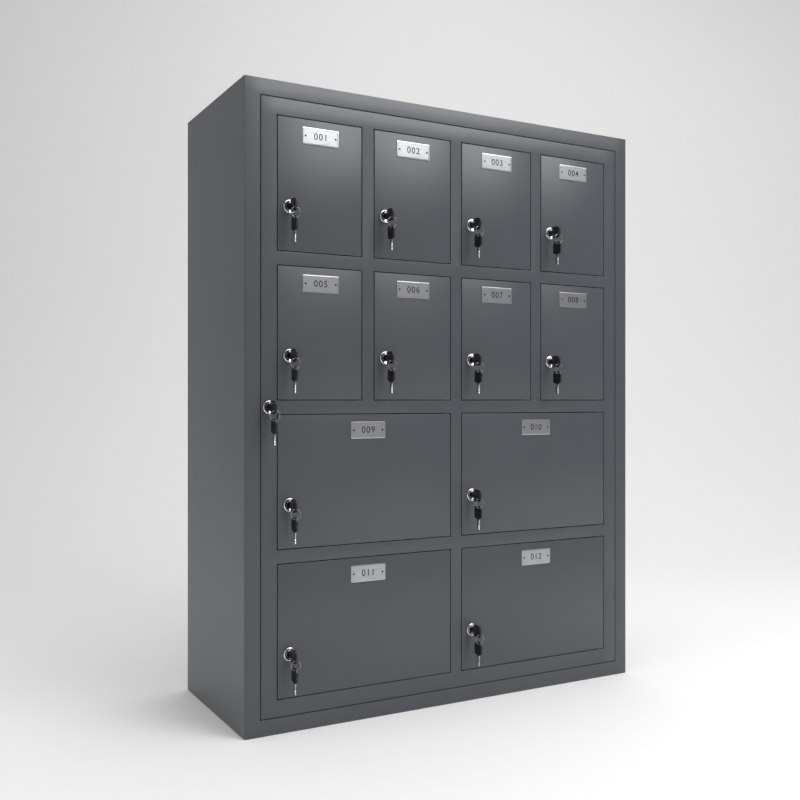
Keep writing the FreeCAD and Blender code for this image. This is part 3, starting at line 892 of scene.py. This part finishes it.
@dataclass
class DoorKind:
    """The meshes shared by every small door of one width, leaf's low front corner at the origin."""

    span: Span
    width: float
    height: float
    sheet: float = 1.2
    depth: float = 14.0
    edge_round: float = 0.9
    rib_wide: float = 40.0
    rib_deep: float = 10.0
    rib_sheet: float = 1.0
    pin_radius: float = 2.0
    pin_inset: Point = (9.0, 4.0)
    pin_tail: float = 7.2

    def leaf(self) -> Mesh:
        """Build the folded leaf."""
        shape = folded_front(Rect(0, 0, self.width, self.height), [], self.depth, 0.0)
        return finished_mesh(f"leaf_{self.span.name.lower()}", shape, COAT,
                             SheetMetal(self.sheet), Bevel(self.edge_round))

    def rib(self) -> Mesh:
        """Build the stiffening channel behind the leaf."""
        half, back, thin = self.rib_wide / 2, self.sheet + self.rib_deep, self.rib_sheet
        middle, front = self.width / 2, self.sheet
        section = [(middle - half, front), (middle - half, back), (middle + half, back),
                   (middle + half, front), (middle + half - thin, front),
                   (middle + half - thin, back - thin), (middle - half + thin, back - thin),
                   (middle - half + thin, front)]
        shape = extruded(section, self.sheet, self.height - self.sheet, Axis.Z)
        return finished_mesh(f"rib_{self.span.name.lower()}", shape, INNER_COAT, Bevel(0.4, 2))

    def pins(self) -> Mesh:
        """Build the two pivot pins as one mesh."""
        x, y = self.width - self.pin_inset[0], self.pin_inset[1]
        pins = []
        for start in (-PIN_REACH, self.height - self.pin_tail):
            made = pin(start, PIN_REACH + self.pin_tail, self.pin_radius, 0.4, 24)
            bmesh.ops.translate(made, verts=made.verts, vec=(x, y, 0))
            pins.append(made)
        return finished_mesh(f"pins_{self.span.name.lower()}", gathered(pins), PIN)


@dataclass
class NumberPlate:
    """A riveted aluminium plate with an engraved border and a printed number."""

    width: float = 74.5
    height: float = 32.4
    thick: float = 1.0
    down: float = 14.0
    corner: float = 1.8
    inner_corner: float = 1.2
    border_in: float = 2.4
    border_line: float = 0.6
    groove: float = 0.3
    rivet_in: float = 6.5
    rivet_radius: float = 1.9
    digit_size: float = 17.5
    digit_weight: float = 0.12
    spacing: float = 1.16

    def plate(self) -> Mesh:
        """Build the plate with its engraved border line, centre of its back at the origin."""
        line = self.border_line
        levels = ((0.0, 0.0), (0.2 - self.thick, 0.0), (0.06 - self.thick, 0.06),
                  (-self.thick, 0.2), (-self.thick, self.border_in),
                  (self.groove - self.thick, self.border_in + line / 2),
                  (-self.thick, self.border_in + line))
        loops = []
        for along, inset in levels:
            w, h = self.width / 2 - inset, self.height / 2 - inset
            radius = max(self.corner - inset, self.inner_corner)
            loops.append((along, rounded([(-w, -h), (w, -h), (w, h), (-w, h)], radius, 6)))
        return finished_mesh("number_plate", stacked(loops, Axis.Y), PLATE)

    def rivets(self) -> Mesh:
        """Build the two rivet heads as one mesh."""
        reach, front = self.width / 2 - self.rivet_in, -self.thick
        profile = [(front - 0.6, 0.0), (front - 0.58, 0.6), (front - 0.45, 1.2),
                   (front - 0.2, 1.7), (front, self.rivet_radius), (front + 0.1, 0.0)]
        heads = []
        for side in (-1, 1):
            head = turned(profile, Axis.Y, 24)
            bmesh.ops.translate(head, verts=head.verts, vec=(side * reach, 0, 0))
            heads.append(head)
        return finished_mesh("plate_rivets", gathered(heads), RIVET)

    def digits(self, number: int) -> Mesh:
        """Build a printed number.

        Args:
            number: The compartment's number.

        Returns:
            A thin raised mesh that faces -Y.
        """
        words = bpy.data.curves.new(f"number_{number:02d}", "FONT")
        words.body = f"{number:03d}"
        words.align_x = "CENTER"
        words.align_y = "CENTER"
        words.size = self.digit_size * MM
        words.space_character = self.spacing
        words.offset = self.digit_weight * MM
        words.extrude = 0.05 * MM
        flat = add_object("flat_number", words)
        ready = flat.evaluated_get(bpy.context.evaluated_depsgraph_get())
        mesh = bpy.data.meshes.new_from_object(ready)
        bpy.data.objects.remove(flat)
        mesh.transform(Matrix.Rotation(math.pi / 2, 4, "X"))
        mesh.name = f"digits_{number:02d}"
        mesh.materials.clear()
        mesh.materials.append(INK.material())
        return mesh

    def build(self, number: int, centre: Vector) -> None:
        """Place the plate, its rivets and its number on a door.

        Args:
            number: The compartment's number.
            centre: Centre of the plate on the door's face, in metres.
        """
        code, body = f"{number:02d}", f"door_{number:02d}"
        place(f"number_plate_{code}", self.shared_plate, body, Slot.DOOR, centre)
        place(f"plate_rivets_{code}", self.shared_rivets, body, Slot.DOOR, centre)
        lifted = centre + Vector((0, -(self.thick + 0.05) * MM, 0))
        place(f"plate_number_{code}", self.digits(number), body, Slot.DOOR, lifted)

    def prepare(self) -> "NumberPlate":
        """Make the meshes that every plate shares."""
        self.shared_plate = self.plate()
        self.shared_rivets = self.rivets()
        return self


@dataclass
class SmallDoors:
    """All twelve small doors with their plates."""

    plate: NumberPlate = field(default_factory=NumberPlate)
    plate_proud: float = 1.6

    def build(self) -> None:
        """Build and place every small door."""
        self.plate.prepare()
        kinds: dict[Span, tuple[DoorKind, Mesh, Mesh, Mesh]] = {}
        for number in range(1, 13):
            code = f"{number:02d}"
            low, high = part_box(f"small_door_{code}")
            span = Span.NARROW if high.x - low.x < 0.25 else Span.WIDE
            if span not in kinds:
                kind = DoorKind(span, (high.x - low.x) / MM,
                                (high.z - low.z) / MM - 2 * PIN_REACH)
                kinds[span] = (kind, kind.leaf(), kind.rib(), kind.pins())
            kind, leaf, rib, pins = kinds[span]
            corner = Vector((low.x, low.y + self.plate_proud * MM, low.z + PIN_REACH * MM))
            body = f"door_{code}"
            place(f"door_leaf_{code}", leaf, body, Slot.DOOR, corner, f"small_door_{code}")
            place(f"door_rib_{code}", rib, body, Slot.DOOR, corner)
            place(f"door_pins_{code}", pins, body, Slot.DOOR, corner)
            up = kind.height - self.plate.down - self.plate.height / 2
            self.plate.build(number, corner + Vector((kind.width / 2, 0, up)) * MM)


# -------- locks and keys


@dataclass
class CamLock:
    """A cam lock with the key in it and a spare key on a ring, origin on the axis at the face."""

    bezel: float = 13.0
    proud: float = 5.0
    barrel: float = 9.5
    barrel_end: float = 20.7
    bore: float = 6.55
    plug: float = 6.5
    recess: float = 1.0
    thread: float = 0.8
    nut_corner: float = 13.0
    nut_thick: float = 4.0
    cam_front: float = 21.0
    cam_thick: float = 2.0
    cam_half: float = 6.5
    cam_reach: float = 34.0
    screw: float = 5.0
    screw_head: float = 3.0
    blade_thick: float = 2.2
    blade_half: float = 4.0
    blade_tip: float = 14.0
    blade_root: float = 5.8
    blade_shank: float = 6.2
    tip_slope: float = 1.4
    cut_pitch: float = 2.2
    cuts: tuple[float, ...] = (0.0, 1.5, 0.3, 1.9, 0.2, 1.1, 0.0)
    groove_deep: float = 0.45
    groove_span: Point = (0.4, 1.7)
    bow_start: float = 10.0
    bow_long: float = 25.0
    bow_half: float = 12.0
    bow_thick: float = 3.5
    shoulder_long: float = 6.0
    shoulder_in: float = 4.5
    bow_round: tuple[float, ...] = (2.5, 2.5, 5.0, 3.0, 3.0, 5.0)
    slot_half: float = 7.0625
    slot_near: float = 29.5
    slot_far: float = 32.5
    ring: float = 9.25
    wire: float = 0.42
    ring_drop: float = 14.605
    spare_drop: float = 55.423
    spare_shift: float = 5.0

    def housing(self) -> Mesh:
        """Build the plated housing: a dished bezel and a threaded barrel."""
        p, b = self.proud, self.bezel
        profile = [(0.4, self.bore), (-p + 1.6, self.bore), (-p + 1.3, self.bore + 0.15),
                   (-p + 1.0, self.bore + 1.0), (-p + 0.62, self.bore + 2.2),
                   (-p + 0.28, self.bore + 3.2), (-p + 0.06, self.bore + 3.9),
                   (-p, self.bore + 4.4), (-p + 0.12, b - 1.4), (-p + 0.5, b - 0.75),
                   (-p + 1.1, b - 0.3), (-p + 2.0, b - 0.05), (-p + 3.0, b), (-0.4, b),
                   (0.0, b - 0.4), (0.0, self.barrel)]
        for turn in range(int((self.barrel_end - 1.0) / self.thread)):
            start = self.thread + turn * self.thread
            profile += [(start, self.barrel - self.thread / 2),
                        (start + self.thread / 2, self.barrel)]
        profile += [(self.barrel_end, self.barrel - 0.5), (self.barrel_end, self.bore),
                    (0.4, self.bore)]
        return finished_mesh("lock_housing", turned(profile, Axis.Y, 64), CHROME)

    def nut(self) -> Mesh:
        """Build the hexagon nut."""
        corners, bore = circle(self.nut_corner, 6, 30), circle(self.barrel, 32)
        shape = extruded(corners, 0.0, self.nut_thick, Axis.Y, [bore])
        return finished_mesh("lock_nut", shape, ZINC, Bevel(0.5, 2))

    def plug_body(self) -> Mesh:
        """Build the plug with its turned face."""
        face = self.recess - self.proud
        profile = [(face + 0.25, 0.0), (face + 0.25, 4.9), (face, 5.1), (face, self.plug - 0.3),
                   (face + 0.3, self.plug), (self.cam_front, self.plug), (self.cam_front, 4.0),
                   (self.cam_front + self.cam_thick, 4.0), (self.cam_front + self.cam_thick, 0.0)]
        # The plug's near black colour is painted shade of its recess.
        return finished_mesh("lock_plug", turned(profile, Axis.Y, 48), PLUG_PAINTED_SHADE)

    def keyway_shade(self) -> Mesh:
        """Build the black piece round the blade: painted shade that stands for the dark gap of the
        keyway.
        """
        face = self.recess - self.proud + 0.25
        half, tall = self.blade_thick / 2 + 0.45, self.blade_half + 0.45
        outline = rounded([(-half, -tall), (half, -tall), (half, tall), (-half, tall)], 0.5, 3)
        shape = extruded(outline, face - 0.12, face + 1.0)
        return finished_mesh("keyway_shutter", shape, KEYWAY_SHADE, Bevel(0.08, 2))

    def cam(self) -> Mesh:
        """Build the cam with a rounded tip and a square hole for the plug's tail."""
        h, tip = self.cam_half, -self.cam_reach
        outline = rounded([(-h, h), (-h, tip), (h, tip), (h, h)], [3.0, 4.0, 4.0, 3.0], 6)
        hole = [(-3.9, -3.9), (3.9, -3.9), (3.9, 3.9), (-3.9, 3.9)]
        shape = extruded(outline, self.cam_front, self.cam_front + self.cam_thick, Axis.Y, [hole])
        return finished_mesh("lock_cam", shape, ZINC, Bevel(0.3, 2))

    def cam_screw(self) -> Mesh:
        """Build the domed screw head with a hollow in its middle."""
        start = self.cam_front + self.cam_thick
        end = start + self.screw_head
        profile = [(start, 0), (start, self.screw - 0.2), (start + 0.4, self.screw),
                   (end - 1.4, self.screw), (end - 0.6, self.screw - 0.7),
                   (end - 0.15, self.screw - 2.0), (end, 2.2), (end - 0.9, 1.3), (end - 1.5, 0)]
        return finished_mesh("cam_screw", turned(profile, Axis.Y, 32), ZINC)

    def blade(self) -> Mesh:
        """Build the key blade with its cuts and a milled groove on each side."""
        t, h, slope = self.blade_tip, self.blade_half, self.tip_slope
        root, deep, (low, high) = -self.bow_start - self.blade_root, self.groove_deep, self.groove_span
        outline = [(root, h), (t - slope, h), (t, h - slope), (t, slope - h)]
        for index, cut in enumerate(self.cuts, 1):
            outline.append((t - index * self.cut_pitch, cut - h))
        outline += [(-self.blade_shank, -h), (root, -h)]
        half = self.blade_thick / 2
        shape = extruded(outline, -half, half, Axis.X)
        wards = [Milled((side - deep, root - 0.2, low), (side + deep, t + 1.0, high))
                 for side in (-half, half)]
        return finished_mesh("key_blade", shape, NICKEL, *wards, Bevel(0.12, 2))

    def bow(self) -> Mesh:
        """Build the moulded bow with its sloped shoulders and its slot."""
        near, far, h = -self.bow_start, -self.bow_start - self.bow_long, self.bow_half
        slope, shoulder = far + self.shoulder_long, h - self.shoulder_in
        outline = rounded([(near, -h), (near, h), (slope, h), (far, shoulder), (far, -shoulder),
                           (slope, -h)], self.bow_round, 7)
        s = self.slot_half
        slot = rounded([(-self.slot_far, -s), (-self.slot_near, -s), (-self.slot_near, s),
                        (-self.slot_far, s)], 1.2, 4)
        shape = extruded(outline, -self.bow_thick / 2, self.bow_thick / 2, Axis.X, [slot])
        return finished_mesh("key_bow", shape, BOW, Bevel(0.7, 3, 50))

    def bow_collar(self) -> Mesh:
        """Build the moulded collar where the blade leaves the bow."""
        half, tall = self.bow_thick / 2 - 0.2, self.blade_half + 1.6
        outline = rounded([(-half, -tall), (half, -tall), (half, tall), (-half, tall)], 1.0, 4)
        shape = extruded(outline, -self.bow_start - 0.5, -self.bow_start + 2.2)
        return finished_mesh("bow_collar", shape, BOW, Bevel(0.4, 3))

    def split_ring(self) -> Mesh:
        """Build the split ring: two turns of wire side by side."""
        path = []
        steps = 192
        for step in range(steps + 1):
            share = step / steps
            angle = math.radians(200) + share * math.radians(712)
            drift = (share - 0.5) * 2 * self.wire * 1.05
            path.append(Vector((self.ring * math.cos(angle), drift, self.ring * math.sin(angle))))
        return finished_mesh("split_ring", swept(path, self.wire), WIRE)

    def hang(self, mesh: Mesh) -> Mesh:
        """Return a copy of a key piece turned to hang with its blade down."""
        copy = mesh.copy()
        copy.name = f"spare_{mesh.name}"
        copy.transform(Matrix.Rotation(-math.pi / 2, 4, "X"))
        return copy

    def prepare(self) -> "CamLock":
        """Make the meshes that every lock shares."""
        self.fixed = {"lock_housing": self.housing()}
        self.lock_nut = self.nut()
        self.turning = {"lock_plug": self.plug_body(), "keyway_shutter": self.keyway_shade(),
                        "lock_cam": self.cam(), "cam_screw": self.cam_screw(),
                        "key_blade": self.blade(), "key_bow": self.bow(),
                        "bow_collar": self.bow_collar()}
        self.key_ring = self.split_ring()
        self.spare = {f"spare_{name}": self.hang(self.turning[name])
                      for name in ("key_blade", "key_bow", "bow_collar")}
        return self

    def build(self, tag: str, joint: str, bodies: Sequence[str], nodes: Sequence[str],
              sheet: float) -> None:
        """Place one lock with both of its keys.

        Args:
            tag: Ending of the pieces' names.
            joint: Joint that the key turns.
            bodies: Bodies of the housing, the plug and the ring.
            nodes: CAD nodes of the housing, the plug and the ring.
            sheet: Thickness of the sheet that the nut clamps.
        """
        at = joint_at(joint)
        place(f"lock_housing_{tag}", self.fixed["lock_housing"], bodies[0], Slot.LOCK, at, nodes[0])
        place(f"lock_nut_{tag}", self.lock_nut, bodies[0], Slot.LOCK,
              at + Vector((0, sheet * MM, 0)))
        for name, mesh in self.turning.items():
            stands_for = (nodes[1],) if name == "lock_plug" else ()
            place(f"{name}_{tag}", mesh, bodies[1], Slot.PLUG, at, *stands_for)
        reach = -(self.slot_near + self.slot_far) / 2
        place(f"key_ring_{tag}", self.key_ring, bodies[2], Slot.SPARE,
              at + Vector((0, reach, -self.ring_drop)) * MM, nodes[2])
        for name, mesh in self.spare.items():
            place(f"{name}_{tag}", mesh, bodies[2], Slot.SPARE,
                  at + Vector((0, reach + self.spare_shift, -self.spare_drop)) * MM)


@dataclass
class Locks:
    """Every lock: one on the service door and one on each small door."""

    pattern: CamLock = field(default_factory=CamLock)

    def build(self) -> None:
        """Build and place all of the locks."""
        lock = self.pattern.prepare()
        lock.build("service", "service_key_turn",
                   ("service_door", "service_plug", "service_key_ring"),
                   ("master_lock", "master_plug", "master_spare_key"), 1.5)
        for number in range(1, 13):
            code = f"{number:02d}"
            lock.build(code, f"door_{code}_key_turn",
                       (f"door_{code}", f"plug_{code}", f"key_ring_{code}"),
                       (f"small_lock_{code}", f"small_plug_{code}", f"spare_key_{code}"), 1.2)


# -------- studio


@dataclass(frozen=True)
class Softbox:
    """A soft rectangular light: where it is, what it faces, its size in metres and its power."""

    name: str
    at: Spot
    faces: Spot
    size: Point
    watts: float

    def add(self) -> None:
        """Add the light."""
        data = bpy.data.lights.new(self.name, "AREA")
        data.shape = "RECTANGLE"
        data.size, data.size_y = self.size
        data.energy = self.watts
        thing = add_object(self.name, data)
        thing.location = self.at
        facing = Vector(self.faces) - Vector(self.at)
        thing.rotation_euler = facing.to_track_quat("-Z", "Y").to_euler()


@dataclass
class Studio:
    """Floor, light and camera."""

    eye: Spot = (-1.0504, -1.8417, 0.6135)
    turn: float = -28.914
    lens: float = 43.678
    air: float = 0.22
    floor_reach: Point = (-7.0, 1.5)
    bend: float = 1.8
    bend_steps: int = 16
    wall_top: float = 6.0
    half_wide: float = 8.0
    softboxes: tuple[Softbox, ...] = (
        Softbox("key_right", (1.5, -3.6, 3.2), (-0.1, -0.17, 0.95), (3.0, 1.8), 48.0),
        Softbox("overhead", (0.4, -0.9, 3.8), (0.3, -0.8, 0.0), (5.0, 4.0), 106.0),
        Softbox("left", (-3.6, 0.3, 1.5), (-0.45, 0.0, 0.75), (2.5, 2.4), 31.0),
        Softbox("wall_wash", (-0.63, 1.95, 4.2), (0.24, 3.52, 1.6), (5.0, 0.8), 12.0),
        Softbox("floor_front", (0.7, -1.5, 2.0), (0.5, -0.9, 0.0), (1.3, 1.0), 15.0),
    )

    def floor(self) -> None:
        """Build the floor, which curves up into a plain back wall."""
        shape = bmesh.new()
        (near, start), bend, side = self.floor_reach, self.bend, self.half_wide
        profile = [(near, 0.0), (start, 0.0)]
        for step in range(1, self.bend_steps + 1):
            angle = math.pi / 2 * step / self.bend_steps
            profile.append((start + bend * math.sin(angle), bend * (1 - math.cos(angle))))
        profile.append((start + bend, self.wall_top))
        rows = [[shape.verts.new((x, y, z)) for x in (-side, side)] for y, z in profile]
        for first, second in zip(rows, rows[1:]):
            shape.faces.new([first[0], first[1], second[1], second[0]])
        square_on = Matrix.Rotation(math.radians(self.turn), 3, "Z")
        bmesh.ops.rotate(shape, verts=shape.verts, cent=(0, 0, 0), matrix=square_on)
        mesh = as_mesh("studio_floor", shape)
        mesh.polygons.foreach_set("use_smooth", [True] * len(mesh.polygons))
        mesh.materials.append(FLOOR.material())
        add_object("studio_floor", mesh)

    def camera(self) -> None:
        """Add the camera."""
        data = bpy.data.cameras.new("view")
        data.lens = self.lens
        data.sensor_width = 36.0
        thing = add_object("view", data)
        thing.location = self.eye
        thing.rotation_euler = (math.pi / 2, 0.0, math.radians(self.turn))
        bpy.context.scene.camera = thing

    def build(self) -> None:
        """Build the studio."""
        self.floor()
        world = bpy.data.worlds.new("studio_air")
        world.use_nodes = True
        air = world.node_tree.nodes["Background"]
        air.inputs["Color"].default_value = (1.0, 1.0, 1.0, 1.0)
        air.inputs["Strength"].default_value = self.air
        bpy.context.scene.world = world
        bpy.context.scene.view_settings.view_transform = "Standard"
        for softbox in self.softboxes:
            softbox.add()
        self.camera()


def main() -> None:
    """Build the locker and its studio."""
    logging.basicConfig(level=logging.INFO, format="%(message)s")
    for assembly in (Cabinet(), ServiceDoor(), SmallDoors(), Locks(), Studio()):
        assembly.build()
        LOG.info("built %s", type(assembly).__name__)


if __name__ == "__main__":
    main()
